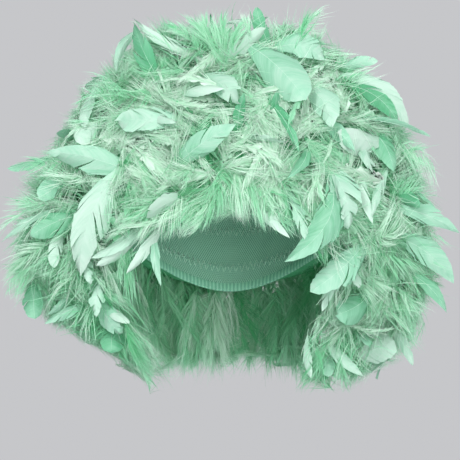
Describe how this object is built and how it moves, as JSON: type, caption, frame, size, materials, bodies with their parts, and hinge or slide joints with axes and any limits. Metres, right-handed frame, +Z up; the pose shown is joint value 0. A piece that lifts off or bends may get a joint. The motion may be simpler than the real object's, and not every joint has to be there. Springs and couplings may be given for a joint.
{
  "type": "feather wig",
  "caption": "Full, rounded wig of soft curled feathers sewn in rows on a stretch cap with an open face side.",
  "frame": {"origin": "the point inside the cap where the crown of the wearer's head touches it", "axes": "+Z up through the crown, -Y the way the wearer looks, +X to the wearer's left"},
  "size_m": [0.3331, 0.3119, 0.2931],
  "materials": {
    "stretch_knit": "fine matt net knit, dyed to match the feathers",
    "feathers": "dyed feathers: satin vanes and matt down"
  },
  "bodies": {
    "root": {"wig_cap": "stretch_knit", "crown_tuft": "feathers", "boa_row_1": "feathers", "boa_row_2": "feathers", "boa_row_3": "feathers", "boa_row_4": "feathers", "boa_row_5": "feathers", "edge_row": "feathers"}
  },
  "joints": []
}
